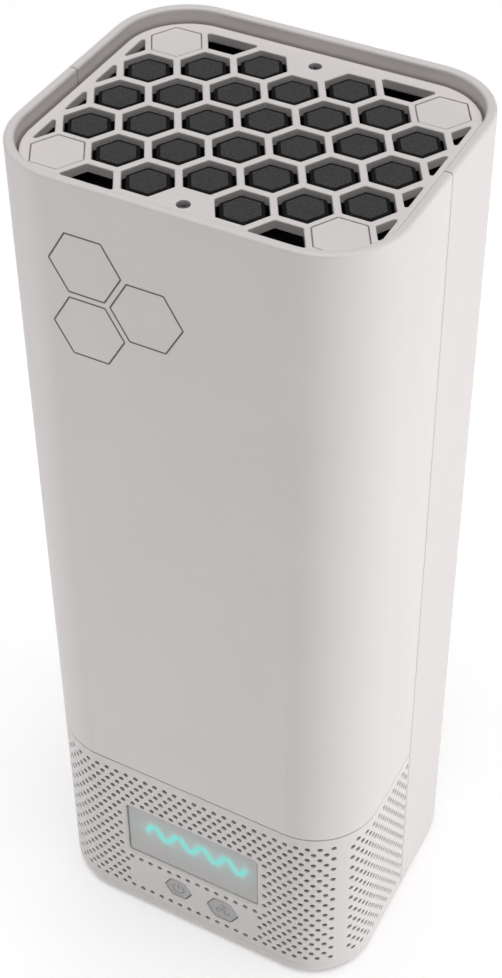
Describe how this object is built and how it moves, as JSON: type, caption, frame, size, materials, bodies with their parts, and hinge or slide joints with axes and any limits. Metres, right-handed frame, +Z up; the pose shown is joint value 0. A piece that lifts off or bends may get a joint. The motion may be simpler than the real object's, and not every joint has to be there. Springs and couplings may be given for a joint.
{
  "type": "desktop air purifier",
  "caption": "Free-standing tower air purifier: honeycomb outlet on top, perforated intake band at the foot, lit display, two hexagonal keys.",
  "frame": {"origin": "on the floor, under the middle of the tower's plan", "axes": "+Z up, the display faces -Y, +X to the right seen from the front"},
  "size_m": [0.1086, 0.0912, 0.291],
  "materials": {
    "casing": "warm light grey, fine satin texture",
    "key": "mid grey, satin",
    "window": "milky grey, semi gloss",
    "diffuser": "milky white",
    "glow": "cyan light",
    "carbon": "dark granular mesh",
    "media": "pleated filter paper",
    "inner": "black moulded plastic",
    "board": "green solder mask",
    "steel": "dark zinc",
    "copper": "sintered bronze and enamelled wire",
    "rubber": "matt black"
  },
  "bodies": {
    "housing": {"base_plate": "inner", "base_screw_1": "steel", "base_screw_2": "steel", "base_screw_3": "steel", "base_screw_4": "steel", "carbon_filter": "carbon", "control_board": "board", "control_board_screw_1": "steel", "control_board_screw_2": "steel", "corner_plug_1": "casing", "corner_plug_2": "casing", "corner_plug_3": "casing", "corner_plug_4": "casing", "corner_screw_1": "steel", "corner_screw_2": "steel", "corner_screw_3": "steel", "corner_screw_4": "steel", "display_board": "board", "display_board_screw_1": "steel", "display_board_screw_2": "steel", "display_diffuser": "diffuser", "display_module": "glow", "display_window": "window", "fan_bearing": "copper", "fan_housing": "inner", "fan_lead": "rubber", "fan_screw_1": "steel", "fan_screw_2": "steel", "fan_screw_3": "steel", "fan_screw_4": "steel", "fan_speed_switch": "inner", "fan_stator": "copper", "filter_duct": "inner", "filter_frame": "inner", "filter_gasket": "carbon", "filter_media": "media", "foot_1": "rubber", "foot_2": "rubber", "foot_3": "rubber", "foot_4": "rubber", "front_cover": "casing", "grille_screw_front": "steel", "grille_screw_rear": "steel", "intake_band": "casing", "intake_mesh": "carbon", "lower_frame": "inner", "outlet_grille": "casing", "power_socket": "inner", "power_switch": "inner", "rear_cover": "casing"},
    "fan": {"fan_rotor": "inner", "fan_shaft": "steel", "fan_magnet_ring": "inner"},
    "power_button": {"power_key": "key", "power_plunger": "inner"},
    "fan_speed_button": {"fan_speed_key": "key", "fan_speed_plunger": "inner"}
  },
  "joints": [
    {"name": "fan_spin", "type": "hinge", "parent": "housing", "child": "fan", "pos_m": [0, 0, 0.0933], "axis": [0, 0, 1], "continuous": true},
    {"name": "power_press", "type": "slide", "parent": "housing", "child": "power_button", "axis": [0, 1, 0], "range_m": [0, 0.0005], "stiffness_N_per_m": 800, "springref_m": -0.0005},
    {"name": "fan_speed_press", "type": "slide", "parent": "housing", "child": "fan_speed_button", "axis": [0, 1, 0], "range_m": [0, 0.0005], "stiffness_N_per_m": 800, "springref_m": -0.0005}
  ]
}
